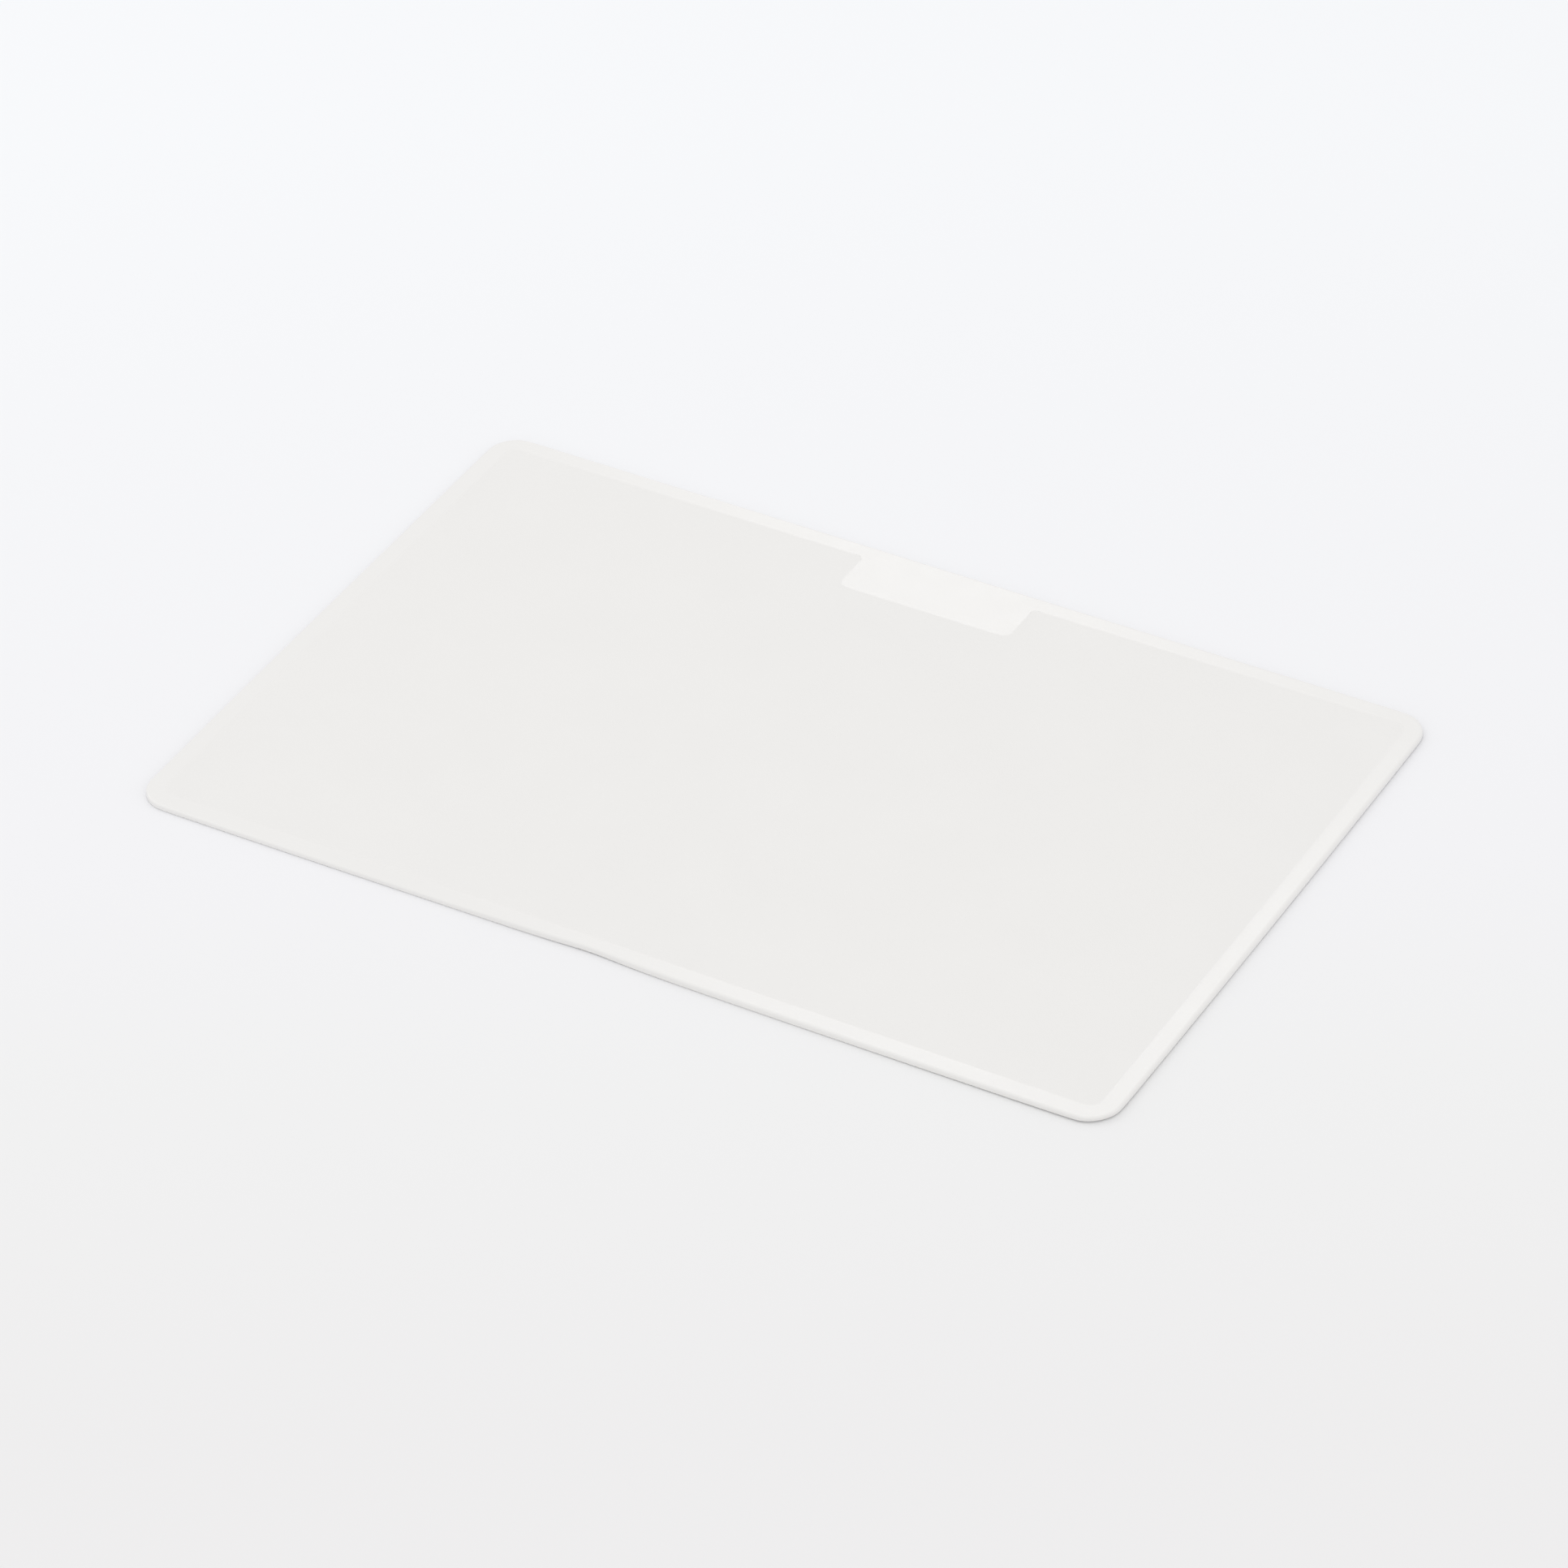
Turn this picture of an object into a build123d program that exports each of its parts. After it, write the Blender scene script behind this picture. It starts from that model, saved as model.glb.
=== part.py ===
"""Flexible cutting mat: one soft moulded sheet, lying flat with its underside on Z = 0.

The long edges run along X and the label pad is on the back edge, at +Y.
The sheet is divided at straight bend lines that run along X, so that it can curl up
towards both long edges. Neighbouring strips meet face to face while the mat is flat,
and each bend turns about the line where their top faces meet.
Each strip is divided again where the finish of the surface changes.
"""

import os

from build123d import *

# Driving dimensions of the sheet, in millimetres
width = 330.0
depth = 220.0
thickness = 2.0
corner_radius = 10.0
rim_round = 0.4

# The smooth margin, and the matt panel's corners inside it
margin = 6.0
panel_corner = 4.0

# The label pad, which grows out of the back margin into the panel
pad_width = 60.0
pad_reach = 17.0
pad_corner = 3.0
pad_root = 2.0

# The bend lines: how far the nearest one stays from the pad, and how many lie on each side
pad_to_bend = 12.0
bends_each_way = 5

# The outermost strips stay straight and carry the long margins and the pad
flank = margin + pad_reach + pad_to_bend
bend_pitch = (depth - 2 * flank) / (2 * bends_each_way - 1)

# How far the blocks that divide the sheet run past it
overrun = 5.0


def whole_sheet():
    """The moulding's outer form, with its rim rounded above and below."""
    blank = extrude(RectangleRounded(width, depth, corner_radius), thickness)
    faces = blank.faces().sort_by(Axis.Z)
    return fillet(faces[0].edges() + faces[-1].edges(), rim_round)


def inside_margin():
    """The outline of everything inside the margin, as if the pad weren't there."""
    return RectangleRounded(width - 2 * margin, depth - 2 * margin, panel_corner)


def corners_at(outline, y):
    """The outline's two corners nearest to the pad's sides at that Y."""
    sides = (-pad_width / 2, pad_width / 2)
    return [outline.vertices().sort_by_distance((x, y, 0))[0] for x in sides]


def panel_outline():
    """The matt panel's outline, which goes round the label pad."""
    back_line = depth / 2 - margin
    front_line = back_line - pad_reach
    notch = Pos(0, back_line - pad_reach / 2) * Rectangle(pad_width, pad_reach)
    outline = inside_margin() - notch
    outline = fillet(corners_at(outline, front_line), pad_corner)
    return fillet(corners_at(outline, back_line), pad_root)


def strips():
    """Each strip's name, front to back, with the Y values it lies between."""
    back = [bend_pitch * (n + 1 / 2) for n in range(bends_each_way)]
    lines = [-y for y in reversed(back)] + back
    edge = depth / 2 + overrun
    numbers = range(1, bends_each_way + 1)
    names = [f"front_{n}" for n in reversed(numbers)] + ["centre"] + [f"back_{n}" for n in numbers]
    return zip(names, [-edge] + lines, lines + [edge])


def block_between(low_y, high_y):
    """A block that takes everything between two Y values."""
    block = Box(width + 2 * overrun, high_y - low_y, thickness + 2 * overrun)
    return Pos(0, (low_y + high_y) / 2, thickness / 2) * block


def margin_pieces(name, stretch):
    """Names the solids of one stretch of margin: both ends of a strip, or a whole long edge."""
    solids = stretch.solids().sort_by(Axis.X)
    if len(solids) == 1:
        return {f"margin_{name.split('_')[0]}": solids[0]}
    return {f"margin_left_{name}": solids[0], f"margin_right_{name}": solids[-1]}


def mat():
    """Every piece of the mat by its name."""
    core = extrude(inside_margin(), thickness)
    panel = extrude(panel_outline(), thickness)
    border = whole_sheet() - core
    pieces = {"label_pad": core - panel}
    for name, low_y, high_y in strips():
        block = block_between(low_y, high_y)
        pieces[f"panel_{name}"] = panel & block
        pieces.update(margin_pieces(name, border & block))
    return pieces


os.makedirs("parts", exist_ok=True)
for node, piece in mat().items():
    export_step(piece, f"parts/{node}.step")
print(f"bend pitch {bend_pitch:.3f} mm, straight flank {flank:.1f} mm")
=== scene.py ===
"""Flexible cutting mat: one soft moulded sheet on a pale studio floor.

The sheet's long edges run along X, the label pad is at +Y and the underside is on Z = 0.
The CAD divides the sheet at its bend lines. Here the skins are cut half-way between the bend
lines instead, so that each skin bends over one line and meets the next where neither bends.
Lengths of the sheet are in millimetres here, and become metres where a mesh is made.
"""

import math

import bmesh
import bpy
from mathutils import Matrix, Vector
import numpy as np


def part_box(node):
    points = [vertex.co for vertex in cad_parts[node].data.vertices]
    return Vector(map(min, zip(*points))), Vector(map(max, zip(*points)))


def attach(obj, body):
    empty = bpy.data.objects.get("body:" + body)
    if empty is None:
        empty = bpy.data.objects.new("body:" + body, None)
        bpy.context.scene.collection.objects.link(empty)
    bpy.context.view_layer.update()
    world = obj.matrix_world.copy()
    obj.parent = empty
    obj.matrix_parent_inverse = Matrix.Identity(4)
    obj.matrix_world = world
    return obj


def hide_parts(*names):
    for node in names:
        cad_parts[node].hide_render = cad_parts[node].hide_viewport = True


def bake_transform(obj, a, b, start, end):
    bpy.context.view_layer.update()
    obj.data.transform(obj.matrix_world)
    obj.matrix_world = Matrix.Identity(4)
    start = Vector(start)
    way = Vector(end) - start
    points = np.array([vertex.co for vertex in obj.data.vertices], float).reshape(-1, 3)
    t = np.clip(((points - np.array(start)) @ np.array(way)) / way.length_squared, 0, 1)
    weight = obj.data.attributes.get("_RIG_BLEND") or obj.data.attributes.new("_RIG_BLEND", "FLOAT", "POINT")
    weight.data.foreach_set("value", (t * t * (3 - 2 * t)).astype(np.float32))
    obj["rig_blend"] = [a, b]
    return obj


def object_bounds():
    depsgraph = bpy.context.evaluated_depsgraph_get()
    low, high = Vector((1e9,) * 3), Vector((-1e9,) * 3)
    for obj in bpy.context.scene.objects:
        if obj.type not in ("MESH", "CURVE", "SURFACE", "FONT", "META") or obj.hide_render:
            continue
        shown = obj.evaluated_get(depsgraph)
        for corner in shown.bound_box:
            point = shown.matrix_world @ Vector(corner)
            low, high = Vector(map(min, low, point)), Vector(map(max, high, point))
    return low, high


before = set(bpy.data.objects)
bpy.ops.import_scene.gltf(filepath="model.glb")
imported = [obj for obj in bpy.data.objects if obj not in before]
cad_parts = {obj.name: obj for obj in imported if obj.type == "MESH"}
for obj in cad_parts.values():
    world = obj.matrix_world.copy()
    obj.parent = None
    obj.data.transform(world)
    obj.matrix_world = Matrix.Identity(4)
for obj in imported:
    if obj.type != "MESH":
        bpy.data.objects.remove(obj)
cad_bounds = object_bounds()

MM = 0.001

# ---------------------------------------------------------------- sizes, as the CAD has them
HALF_WIDTH, HALF_DEPTH, THICKNESS = (c / MM for c in cad_bounds[1])
CORNER = 10.0
MARGIN = 6.0
PANEL_CORNER = CORNER - MARGIN
INNER_X = HALF_WIDTH - MARGIN
INNER_Y = HALF_DEPTH - MARGIN
PAD_HALF = 30.0
PAD_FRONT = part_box("label_pad")[0].y / MM
PAD_CORNER = 3.0
PAD_ROOT = 2.0

# Bend lines, from the centre outwards, and the cuts half-way between them
BENDS = 5
PITCH = 2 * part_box("panel_centre")[1].y / MM
CUTS = [PITCH * n for n in range(BENDS)]
BENT_ROWS = [CUTS[-1], CUTS[-1] + PITCH / 2, CUTS[-1] + PITCH]

# How finely the meshes are laid out before they are subdivided
SKIN_LEVELS = 2
CORNER_TURNS = 8
PAD_TURNS = 4
LONG_STEP = 12.0
SHORT_STEP = 5.0
# Columns keep this far off the pad's sides, and values closer than the least step are one
PAD_CLEARANCE = LONG_STEP / 3
LEAST_STEP = 0.001

# How the soft sheet lies: how far it draws in, rises or sinks, how wide each of these is along
# the edge, and how far it reaches in. No part of the top rises above the thickness.
# The ripple near the middle of the front edge draws in, and its underside lifts. The meshes
# have closer columns over the span on each side of it
RIPPLE_X = -6.0
RIPPLE_DRAW = 1.1
RIPPLE_LIFT = 0.2
RIPPLE_WIDTH = 12.0
RIPPLE_REACH = 20.0
RIPPLE_SPAN = 60.0
# The front edge bows in about its left half
BOW_X = -40.0
BOW_DRAW = 0.6
BOW_WIDTH = 65.0
BOW_REACH = 40.0
# The right edge's ends draw in, and so does the left edge's front end
END_DRAW = 0.5
END_REACH = 20.0
# The front rim's top droops on the ripple's left
DROOP = 0.5
DROOP_FROM = -65.0
DROOP_TO = -25.0
# Between the corners, the top sinks along the right margin's inner edge, and the right rim's
# wall leans in
SAG = 0.2
SAG_REACH = 60.0
LEAN = 0.22
# The rim's foot rises off the floor towards the right, and most at the near corner
FOOT_RISE = 0.24
FOOT_CORNER_RISE = 0.15
FOOT_CORNER_WIDTH = 25.0
FOOT_REACH = 3.0
# The near corner tucks in, its foot the most
TUCK = 0.2
FOOT_TUCK = 0.5
TUCK_REACH = 14.0

# The margin's section: the distance in from the outer edge, and the height
SECTION = [
    (MARGIN, THICKNESS), (4.8, THICKNESS), (3.0, THICKNESS), (1.4, THICKNESS),
    (0.75, THICKNESS), (0.42, THICKNESS - 0.03), (0.16, THICKNESS - 0.17),
    (0.02, THICKNESS - 0.45), (0.0, THICKNESS / 2), (0.0, 0.4), (0.02, 0.17),
    (0.08, 0.05), (0.22, 0.0), (0.6, 0.0), (3.0, 0.0), (MARGIN, 0.0),
]


def smooth(t):
    """Rises from 0 to 1 with level ends."""
    t = min(1.0, max(0.0, t))
    return t * t * (3 - 2 * t)


def fade(distance, reach):
    """1 where the distance is 0, and 0 from the reach on."""
    return 1 - smooth(distance / reach)


def hump(distance, width):
    """1 where the distance is 0, half as much a width away, and less beyond."""
    return 1 / (1 + (distance / width) ** 2)


def from_edge(x, y):
    """How far a point lies in from the sheet's outer edge, round the corners too."""
    past_x = abs(x) - HALF_WIDTH + CORNER
    past_y = abs(y) - HALF_DEPTH + CORNER
    outside = math.hypot(max(past_x, 0.0), max(past_y, 0.0))
    return CORNER - outside - min(max(past_x, past_y), 0.0)


def from_near_corner(x, y):
    """How far a point lies from where the front and right edges would cross."""
    return math.hypot(x - HALF_WIDTH, y + HALF_DEPTH)


def off_corners(y):
    """1 half-way along a short edge, and 0 at its ends."""
    return 1 - (y / HALF_DEPTH) ** 2


def front_draw(x, y):
    """How far the front edge draws in, along Y."""
    ripple = RIPPLE_DRAW * hump(x - RIPPLE_X, RIPPLE_WIDTH) * fade(y + HALF_DEPTH, MARGIN)
    return ripple + BOW_DRAW * hump(x - BOW_X, BOW_WIDTH) * fade(y + HALF_DEPTH, BOW_REACH)


def end_draw(x, y):
    """How far the ends of the short edges draw in, along X. It is less than 0 on the right."""
    left = smooth(-y / HALF_DEPTH) ** 2 * fade(HALF_WIDTH + x, END_REACH)
    right = (y / HALF_DEPTH) ** 2 * fade(HALF_WIDTH - x, END_REACH)
    return END_DRAW * (left - right)


def lean(x, y, z):
    """How far the right rim's wall leans in, along X."""
    return LEAN * off_corners(y) * fade(HALF_WIDTH - x, MARGIN) * z / THICKNESS


def tuck(x, y, z):
    """How far a point of the near corner draws in, along X and along Y."""
    share = fade(from_near_corner(x, y), TUCK_REACH) * fade(from_edge(x, y), MARGIN)
    return share * (TUCK + FOOT_TUCK * (1 - z / THICKNESS)) / math.sqrt(2)


def top_drop(x, y):
    """How far the top lies below the sheet's thickness."""
    inward = max(0.0, 1 - (y + HALF_DEPTH) / MARGIN)
    droop = DROOP * fade(x - DROOP_FROM, DROOP_TO - DROOP_FROM) * inward ** 2
    from_right = HALF_WIDTH - x
    sag = SAG * off_corners(y) * smooth(from_right / MARGIN)
    return droop + sag * fade(from_right - MARGIN, SAG_REACH)


def rise(x, y, z):
    """How far a point rises with the underside. The top stays where it is."""
    below_top = 1 - z / THICKNESS
    ripple = RIPPLE_LIFT * hump(x - RIPPLE_X, RIPPLE_WIDTH) * fade(y + HALF_DEPTH, RIPPLE_REACH)
    foot = FOOT_RISE * smooth(x / HALF_WIDTH) ** 2
    foot += FOOT_CORNER_RISE * hump(from_near_corner(x, y), FOOT_CORNER_WIDTH)
    foot *= fade(from_edge(x, y), FOOT_REACH)
    return ripple * below_top + foot * below_top ** 2


def at(x, y, z):
    """A point of the sheet in metres, as the soft sheet lies."""
    inward = tuck(x, y, z)
    return Vector((x + end_draw(x, y) - lean(x, y, z) - inward,
                   y + front_draw(x, y) + inward,
                   z * (1 - top_drop(x, y) / THICKNESS) + rise(x, y, z))) * MM


# ---------------------------------------------------------------- outlines
def turn(centre, radius, start, end, turns):
    """Points of an arc, both ends included. The angles are in degrees."""
    angles = [math.radians(start + (end - start) * k / turns) for k in range(turns + 1)]
    return [(centre[0] + radius * math.cos(a), centre[1] + radius * math.sin(a)) for a in angles]


def steps(start, end, longest):
    """Even values from start to end, both included, no further apart than longest."""
    count = max(1, math.ceil(abs(end - start) / longest))
    return [start + (end - start) * k / count for k in range(count + 1)]


def lines(*lists):
    """All the values in order, with those that meet kept once."""
    kept = []
    for value in sorted(v for values in lists for v in values):
        if not kept or value - kept[-1] > LEAST_STEP:
            kept.append(value)
    return kept


def mirrored(points):
    """The points of a left half, and their mirror images in the order that closes the outline."""
    return points + [(-x, y) for x, y in reversed(points)]


LONG_STATIONS = lines(
    steps(-INNER_X + PANEL_CORNER, RIPPLE_X - RIPPLE_SPAN, LONG_STEP),
    steps(RIPPLE_X - RIPPLE_SPAN, RIPPLE_X + RIPPLE_SPAN, SHORT_STEP),
    steps(RIPPLE_X + RIPPLE_SPAN, INNER_X - PANEL_CORNER, LONG_STEP),
)
END_STATIONS = lines(BENT_ROWS, steps(BENT_ROWS[-1], HALF_DEPTH - CORNER, SHORT_STEP))

PANEL_TURN = turn((-INNER_X + PANEL_CORNER, INNER_Y - PANEL_CORNER), PANEL_CORNER, 180, 90,
                  CORNER_TURNS)
ROOT_TURN = turn((-PAD_HALF - PAD_ROOT, INNER_Y - PAD_ROOT), PAD_ROOT, 90, 0, PAD_TURNS)
PAD_TURN = turn((-PAD_HALF + PAD_CORNER, PAD_FRONT + PAD_CORNER), PAD_CORNER, 180, 270,
                PAD_TURNS)


# ---------------------------------------------------------------- meshes
def new_skin():
    """An empty mesh whose edges can be kept sharp."""
    bm = bmesh.new()
    bm.edges.layers.float.new("crease_edge")
    return bm


def finish_mesh(name, bm, sharp):
    """Makes the object, with the given edges kept sharp under subdivision."""
    crease = bm.edges.layers.float["crease_edge"]
    for edge in sharp:
        edge[crease] = 1.0
        edge.smooth = False
    for face in bm.faces:
        face.smooth = True
    bmesh.ops.recalc_face_normals(bm, faces=bm.faces)
    mesh = bpy.data.meshes.new(name)
    bm.to_mesh(mesh)
    bm.free()
    obj = bpy.data.objects.new(name, mesh)
    bpy.context.scene.collection.objects.link(obj)
    skin = obj.modifiers.new("Skin", "SUBSURF")
    skin.levels = skin.render_levels = SKIN_LEVELS
    return obj


def bar(name, stations):
    """A closed bar of margin through stations of the outer edge, each a point and its facing."""
    bm = new_skin()
    rings = [[bm.verts.new(at(x - fx * inset, y - fy * inset, z)) for inset, z in SECTION]
             for (x, y), (fx, fy) in stations]
    count = len(SECTION)
    for a, b in zip(rings, rings[1:]):
        for i in range(count):
            j = (i + 1) % count
            bm.faces.new((a[i], a[j], b[j], b[i]))
    sharp = set()
    for ring in (rings[0], rings[-1]):
        sharp.update(bm.faces.new(ring).edges)
    for a, b in zip(rings, rings[1:]):
        sharp.update(bm.edges.get((a[i], b[i])) for i in (0, count - 1))
    return finish_mesh(name, bm, sharp)


def plate(name, outline, columns, rows, corners):
    """A closed plate of the sheet's thickness inside an outline, laid out in columns and rows.
    Corners are the points where the outline turns sharply."""
    flat = bmesh.new()
    flat.faces.new([flat.verts.new((x, y, 0)) for x, y in outline])
    for normal, places in (((1, 0, 0), columns), ((0, 1, 0), rows)):
        for place in places:
            everything = flat.verts[:] + flat.edges[:] + flat.faces[:]
            bmesh.ops.bisect_plane(flat, geom=everything, dist=LEAST_STEP, plane_no=normal,
                                   plane_co=Vector(normal) * place)
    flat.verts.ensure_lookup_table()
    flat.verts.index_update()
    bm = new_skin()
    low, high = ([bm.verts.new(at(v.co.x, v.co.y, z)) for v in flat.verts]
                 for z in (0, THICKNESS))
    for face in flat.faces:
        for layer in (low, high):
            bm.faces.new([layer[v.index] for v in face.verts])
    sharp = set()
    for edge in flat.edges:
        if len(edge.link_faces) == 1:
            i, j = (v.index for v in edge.verts)
            wall = bm.faces.new((low[i], low[j], high[j], high[i]))
            sharp.update((wall.edges[0], wall.edges[2]))
    for x, y in corners:
        i = min(flat.verts, key=lambda v: (v.co.xy - Vector((x, y))).length).index
        sharp.add(bm.edges.get((low[i], high[i])))
    flat.free()
    return finish_mesh(name, bm, sharp)


def turned(points, side):
    """The points on the front or the back of the sheet. side is -1 at the front."""
    return [(x, side * y) for x, y in points]


def panel_strip(name, side, near, far):
    """A stretch of panel from end to end, between two rows."""
    rows = [near, (near + far) / 2, far]
    corners = [(-INNER_X, near), (-INNER_X, far), (INNER_X, far), (INNER_X, near)]
    return plate(name, turned(corners, side), LONG_STATIONS, [side * y for y in rows],
                 turned(corners, side))


def panel_edge(name, side):
    """The panel's outermost stretch, with rounded corners, and round the label pad at the back."""
    near = BENT_ROWS[0]
    half = [(-INNER_X, near)] + PANEL_TURN
    columns = [x for x, _ in mirrored(PANEL_TURN)]
    rows = END_STATIONS + [y for _, y in PANEL_TURN]
    if side > 0:
        round_pad = ROOT_TURN + PAD_TURN
        half += round_pad
        columns += [x for x, _ in mirrored(round_pad)]
        rows += [y for _, y in round_pad]
    outline = mirrored(half)
    inside = [x for x in LONG_STATIONS
              if side < 0 or abs(abs(x) - PAD_HALF) > PAD_CLEARANCE]
    return plate(name, turned(outline, side), lines(columns, inside),
                 [side * y for y in lines(rows)], turned([outline[0], outline[-1]], side))


def pad(name):
    """The smooth pad that grows out of the back margin."""
    outline = mirrored(ROOT_TURN + PAD_TURN)
    across = [x for x, _ in outline] + steps(-PAD_HALF + PAD_CORNER, PAD_HALF - PAD_CORNER,
                                             SHORT_STEP)
    into = [y for _, y in outline] + END_STATIONS
    return plate(name, outline, lines(across), lines(into), [outline[0], outline[-1]])


def margin_end(name, x_side, side, near, far):
    """A stretch of margin on a short edge, between two rows."""
    rows = [near, (near + far) / 2, far]
    return bar(name, [((x_side * HALF_WIDTH, side * y), (x_side, 0)) for y in rows])


def margin_edge(name, side):
    """The margin round a long edge: in along the left end, round both corners and out again."""
    centre = Vector((-HALF_WIDTH + CORNER, HALF_DEPTH - CORNER))
    half = [((-HALF_WIDTH, y), (-1, 0)) for y in END_STATIONS[:-1]]
    for point in turn(centre, CORNER, 180, 90, CORNER_TURNS):
        half.append((point, (Vector(point) - centre) / CORNER))
    middle = [((x, HALF_DEPTH), (0, 1)) for x in LONG_STATIONS[1:-1]]
    other = [((-x, y), (-fx, fy)) for (x, y), (fx, fy) in reversed(half)]
    stations = half + middle + other
    return bar(name, [((x, side * y), (fx, side * fy)) for (x, y), (fx, fy) in stations])


# ---------------------------------------------------------------- materials
def linear(*levels):
    """A picture's colour, 0 to 255 a channel, as the scene-linear colour of a node.
    The numbers are those of the sRGB curve above its straight foot."""
    return [((c / 255 + 0.055) / 1.055) ** 2.4 for c in levels] + [1.0]


def node(tree, kind, values=None, **settings):
    """A new shader node, with its settings and the values of its input sockets."""
    made = tree.nodes.new(kind)
    for name, value in settings.items():
        setattr(made, name, value)
    for name, value in (values or {}).items():
        made.inputs[name].default_value = value
    return made


def new_material(name):
    """An empty material, its node tree, its output node and its coordinates node."""
    material = bpy.data.materials.new(name)
    material.use_nodes = True
    tree = material.node_tree
    tree.nodes.clear()
    output = node(tree, "ShaderNodeOutputMaterial")
    place = node(tree, "ShaderNodeTexCoord")
    return material, tree, output, place


def noise(tree, place, scale, detail):
    """Fractal noise over the sheet. The scale is in features a metre."""
    made = node(tree, "ShaderNodeTexNoise", {"Scale": scale, "Detail": detail})
    tree.links.new(place.outputs["Object"], made.inputs["Vector"])
    return made.outputs["Fac"]


def between(tree, factor, low, high):
    """Numbers from low to high as the noise goes from its usual lowest to its usual highest."""
    made = node(tree, "ShaderNodeMapRange",
                {"From Min": NOISE_LOW, "From Max": NOISE_HIGH, "To Min": low, "To Max": high})
    tree.links.new(factor, made.inputs["Value"])
    return made.outputs["Result"]


def bumps(tree, layers):
    """A chain of bumps. Each layer is a height, its depth in metres and its strength."""
    normal = None
    for height, depth, strength in layers:
        made = node(tree, "ShaderNodeBump", {"Distance": depth, "Strength": strength})
        tree.links.new(height, made.inputs["Height"])
        if normal:
            tree.links.new(normal, made.inputs["Normal"])
        normal = made.outputs["Normal"]
    return normal


def plastic(name, patch_scale, gloss, layers, specular):
    """Soft moulded plastic. Its colour drifts between the sheet's two near shades in patches.
    Gloss is the lowest and highest roughness, and the scale of its drift. Each layer of relief
    is a scale, a detail, a depth in metres and a strength."""
    material, tree, output, place = new_material(name)
    shader = node(tree, "ShaderNodeBsdfPrincipled", {"Specular IOR Level": specular})
    mix = node(tree, "ShaderNodeMix", data_type="RGBA")
    mix.inputs["A"].default_value = SHEET_DARK
    mix.inputs["B"].default_value = SHEET_LIGHT
    tree.links.new(between(tree, noise(tree, place, patch_scale, PATCH_DETAIL), 0.0, 1.0),
                   mix.inputs["Factor"])
    tree.links.new(mix.outputs["Result"], shader.inputs["Base Color"])
    low, high, scale = gloss
    tree.links.new(between(tree, noise(tree, place, scale, GLOSS_DETAIL), low, high),
                   shader.inputs["Roughness"])
    heights = [(noise(tree, place, scale, detail), depth, strength)
               for scale, detail, depth, strength in layers]
    tree.links.new(bumps(tree, heights), shader.inputs["Normal"])
    tree.links.new(shader.outputs["BSDF"], output.inputs["Surface"])
    return material


NOISE_LOW = 0.3
NOISE_HIGH = 0.7
PATCH_DETAIL = 4.0
GLOSS_DETAIL = 2.0
SHEET_DARK = linear(233.4, 232.2, 230.4)
SHEET_LIGHT = linear(234.4, 233.2, 231.4)
SATIN = (0.22, 0.265, 120.0)
GRAIN = (2600.0, 3.0, 0.00005, 0.55)
WAVES = (14.0, 2.0, 0.0003, 0.5)
FINE_WAVES = (240.0, 2.0, 0.00001, 0.4)

MATT = plastic("matt_sheet", 30.0, (0.68, 0.82, 90.0), [GRAIN], 0.45)
SMOOTH = plastic("smooth_edge", 24.0, SATIN, [WAVES, FINE_WAVES], 0.5)
PAD_SMOOTH = plastic("smooth_pad", 24.0, SATIN, [FINE_WAVES], 0.5)


# ---------------------------------------------------------------- the dressed sheet
def dress(piece, material, slot, *nodes):
    """Gives a piece its material and hides the CAD nodes that it stands for. The record slot is not used."""
    piece.data.materials.append(material)
    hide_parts(*nodes)


def body_name(side_name, number):
    """The CAD body of a strip, counted outwards from the centre."""
    return f"{side_name}_{number}_strip" if number else "centre_strip"


def strip_name(side_name, number):
    """The name that a strip's CAD nodes end in."""
    return f"{side_name}_{number}" if number else "centre"


for side_name, side in (("front", -1), ("back", 1)):
    for bend in range(1, BENDS + 1):
        near = CUTS[bend - 1]
        far = near + PITCH
        last = bend == BENDS
        inner, outer = strip_name(side_name, bend - 1), strip_name(side_name, bend)
        if last:
            made = [(panel_edge(f"matt_{side_name}_{bend}", side), MATT, "cutting_panel",
                     [f"panel_{inner}", f"panel_{outer}"]),
                    (margin_edge(f"rim_{side_name}", side), SMOOTH, "smooth_margin",
                     [f"margin_left_{inner}", f"margin_right_{inner}", f"margin_{side_name}"])]
        else:
            made = [(panel_strip(f"matt_{side_name}_{bend}", side, near, far), MATT,
                     "cutting_panel", [f"panel_{inner}", f"panel_{outer}"])]
            made += [(margin_end(f"rim_{end}_{side_name}_{bend}", x_side, side, near, far),
                      SMOOTH, "smooth_margin",
                      [f"margin_{end}_{inner}", f"margin_{end}_{outer}"])
                     for end, x_side in (("left", -1), ("right", 1))]
        for piece, material, slot, nodes in made:
            dress(piece, material, slot, *nodes)
            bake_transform(piece, body_name(side_name, bend - 1), body_name(side_name, bend),
                     start=(0, side * near * MM, 0), end=(0, side * far * MM, 0))

label = pad("plain_pad")
dress(label, PAD_SMOOTH, "label_pad", "label_pad")
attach(label, "back_5_strip")


# ---------------------------------------------------------------- floor
FLOOR_HALF = 12.0
FLOOR_CELLS = 8
FLOOR_DROP = 0.05
# Painted light: the floor's colour grows lighter along one direction on it, away from the camera,
# between two distances in metres, in place of the light's falloff across the floor
PAINTED_FALLOFF_WAY = (-0.492, 0.8706, 0.0)
FLOOR_NEAR = -0.30
FLOOR_FAR = 0.36
FLOOR_PAINTED_FALLOFF = [
    (0.0, linear(235.4, 234.6, 235.0)),
    (0.227, linear(237.6, 237.6, 237.8)),
    (0.379, linear(239.9, 239.7, 241.8)),
    (1.0, linear(243.0, 244.2, 246.4)),
]


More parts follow.
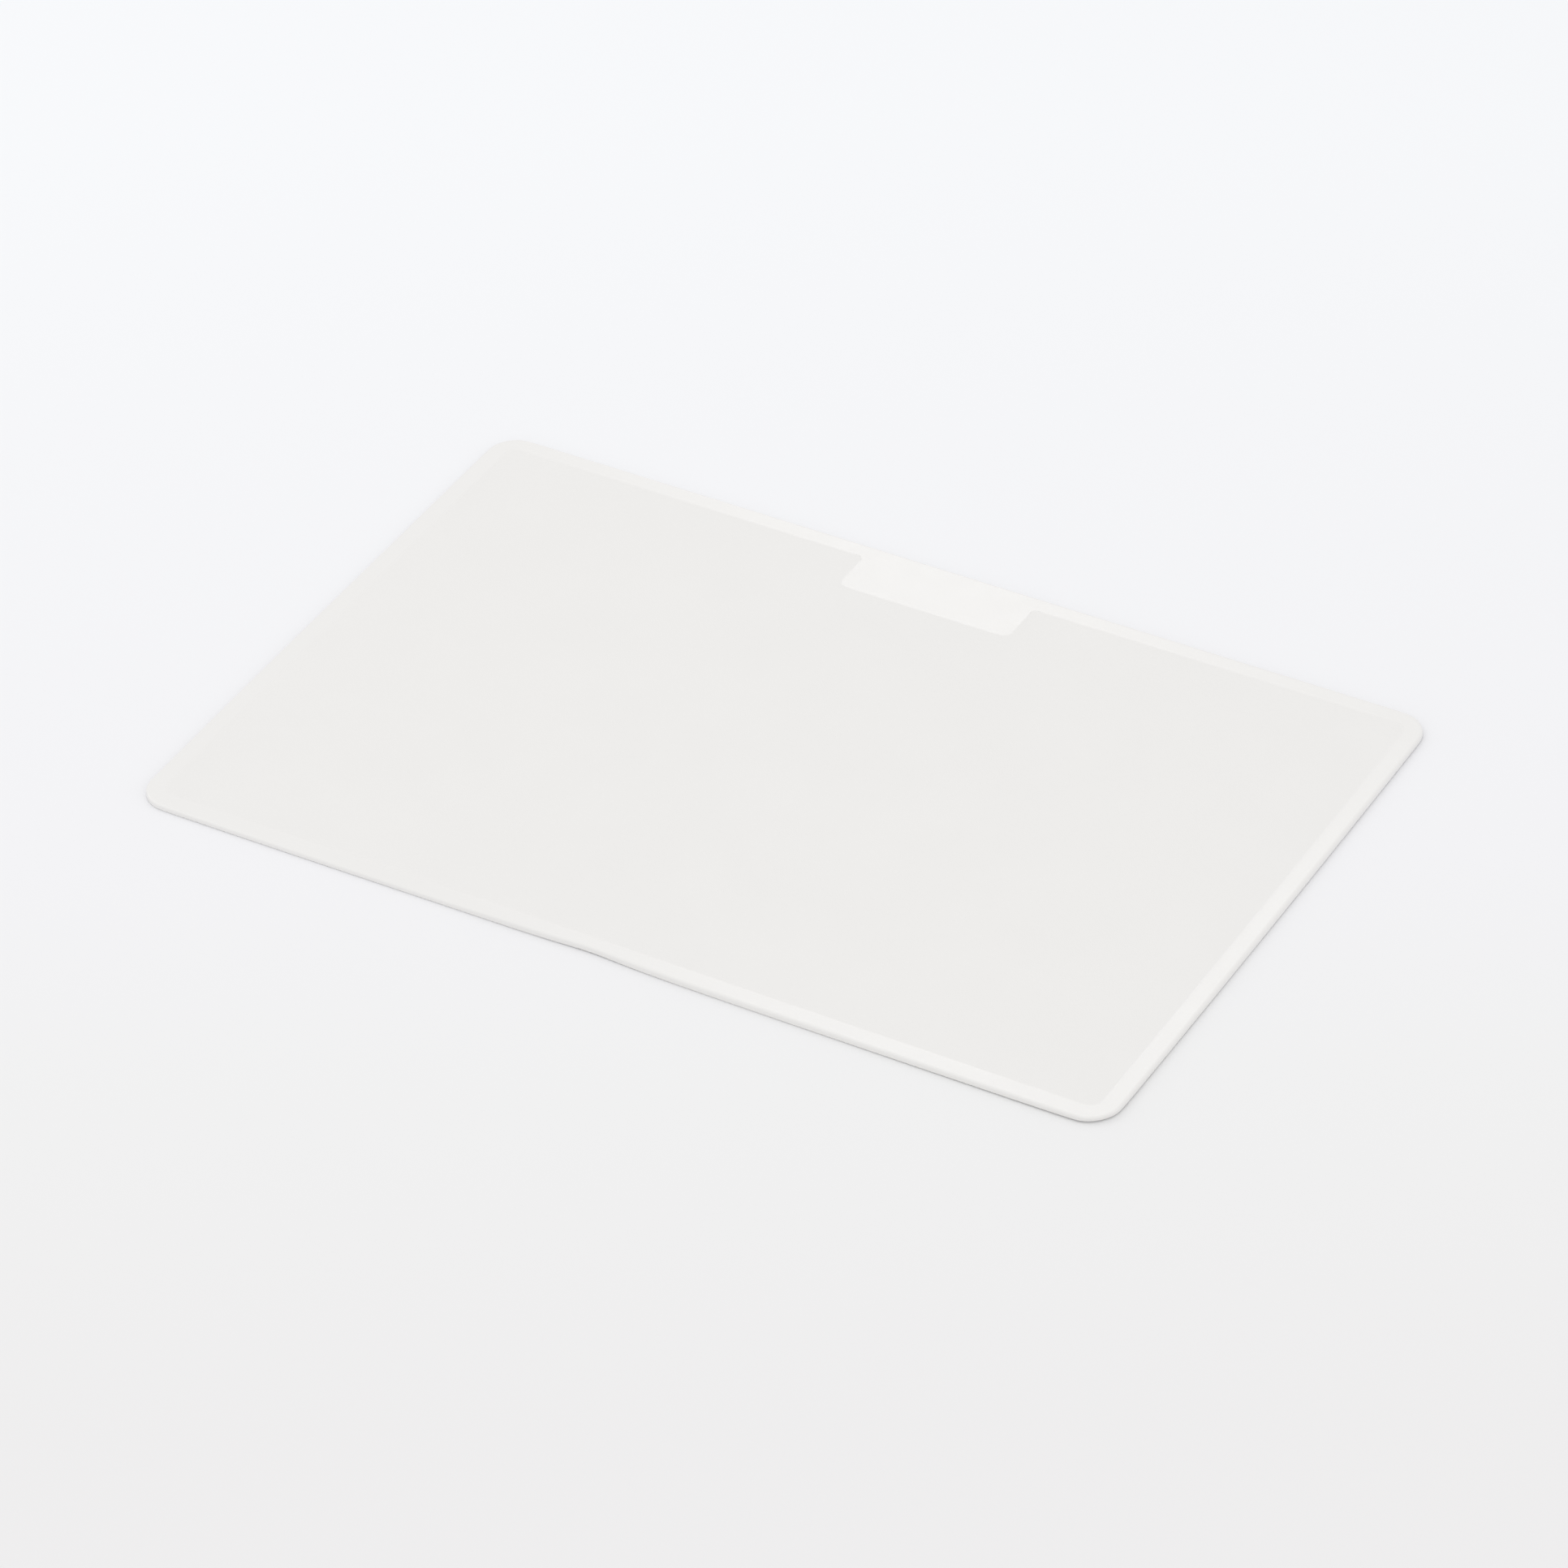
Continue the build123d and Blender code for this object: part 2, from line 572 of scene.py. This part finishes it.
def make_floor():
    """A wide matt floor, a hair below the sheet's underside, with the light's falloff painted into its
    colour.
    """
    bm = bmesh.new()
    bmesh.ops.create_grid(bm, x_segments=FLOOR_CELLS, y_segments=FLOOR_CELLS, size=FLOOR_HALF)
    mesh = bpy.data.meshes.new("floor")
    bm.to_mesh(mesh)
    bm.free()
    floor = bpy.data.objects.new("floor", mesh)
    floor.location.z = -FLOOR_DROP * MM
    bpy.context.scene.collection.objects.link(floor)
    material, tree, output, place = new_material("studio_floor")
    along = node(tree, "ShaderNodeVectorMath", operation="DOT_PRODUCT")
    along.inputs[1].default_value = PAINTED_FALLOFF_WAY
    tree.links.new(place.outputs["Object"], along.inputs[0])
    share = node(tree, "ShaderNodeMapRange", {"From Min": FLOOR_NEAR, "From Max": FLOOR_FAR})
    tree.links.new(along.outputs["Value"], share.inputs["Value"])
    # The ramp paints the light's falloff into the floor's colour: darker near the camera, lighter further
    # back
    ramp = node(tree, "ShaderNodeValToRGB")
    while len(ramp.color_ramp.elements) < len(FLOOR_PAINTED_FALLOFF):
        ramp.color_ramp.elements.new(0.5)
    for stop, (position, colour) in zip(ramp.color_ramp.elements, FLOOR_PAINTED_FALLOFF):
        stop.position = position
        stop.color = colour
    tree.links.new(share.outputs["Result"], ramp.inputs["Fac"])
    shader = node(tree, "ShaderNodeBsdfDiffuse")
    tree.links.new(ramp.outputs["Color"], shader.inputs["Color"])
    tree.links.new(shader.outputs["BSDF"], output.inputs["Surface"])
    mesh.materials.append(material)


make_floor()

# ---------------------------------------------------------------- light
SKY = (1.0, 1.0, 1.0, 1.0)
SKY_STRENGTH = 0.854
# The softboxes face the sheet from this many metres. Each has a name, its azimuth from +X and
# its elevation in degrees, its width and height in metres and its power in watts
LIGHT_DISTANCE = 2.6
SOFTBOXES = [
    ("strip_behind", 116.6, 38.0, 0.3, 1.2, 1.55),
    ("fill_behind", 128.0, 38.0, 2.2, 1.6, 1.5),
    ("softbox_left", 168.0, 45.0, 1.2, 1.2, 4.5),
    ("softbox_low_left", 196.0, 21.0, 1.8, 1.2, 2.7),
    ("softbox_front", 292.0, 27.0, 3.0, 1.6, 6.8),
    ("softbox_right", 15.0, 27.0, 2.0, 1.6, 4.5),
    ("softbox_above", 0.0, 90.0, 0.8, 0.8, 2.4),
]

world = bpy.data.worlds.new("studio")
world.use_nodes = True
background = world.node_tree.nodes["Background"]
background.inputs["Color"].default_value = SKY
background.inputs["Strength"].default_value = SKY_STRENGTH
bpy.context.scene.world = world

for light_name, azimuth, elevation, wide, tall, power in SOFTBOXES:
    a, e = math.radians(azimuth), math.radians(elevation)
    place = Vector((math.cos(a) * math.cos(e), math.sin(a) * math.cos(e), math.sin(e)))
    light = bpy.data.lights.new(light_name, "AREA")
    light.shape = "RECTANGLE"
    light.size, light.size_y = wide, tall
    light.energy = power
    stand = bpy.data.objects.new(light_name, light)
    stand.location = place * LIGHT_DISTANCE
    stand.rotation_mode = "QUATERNION"
    stand.rotation_quaternion = place.to_track_quat("Z", "Y")
    stand.visible_camera = False
    bpy.context.scene.collection.objects.link(stand)

# ---------------------------------------------------------------- camera
CAMERA_PLACE = Vector((894.9, -1585.1, 1362.6)) * MM
CAMERA_FORWARD = Vector((-0.39313, 0.69551, -0.60143))
CAMERA_RIGHT = Vector((0.87426, 0.48535, -0.01019))
CAMERA_LENS = 172.084
CAMERA_CLIP = (0.05, 100.0)

camera = bpy.data.cameras.new("camera")
camera.lens = CAMERA_LENS
camera.clip_start, camera.clip_end = CAMERA_CLIP
camera_stand = bpy.data.objects.new("camera", camera)
backward = -CAMERA_FORWARD.normalized()
right = (CAMERA_RIGHT - CAMERA_RIGHT.dot(backward) * backward).normalized()
axes = Matrix((right, backward.cross(right), backward)).transposed().to_4x4()
camera_stand.matrix_world = Matrix.Translation(CAMERA_PLACE) @ axes
bpy.context.scene.collection.objects.link(camera_stand)
bpy.context.scene.camera = camera_stand

bpy.context.scene.view_settings.view_transform = "Standard"
bpy.context.scene.view_settings.look = "None"
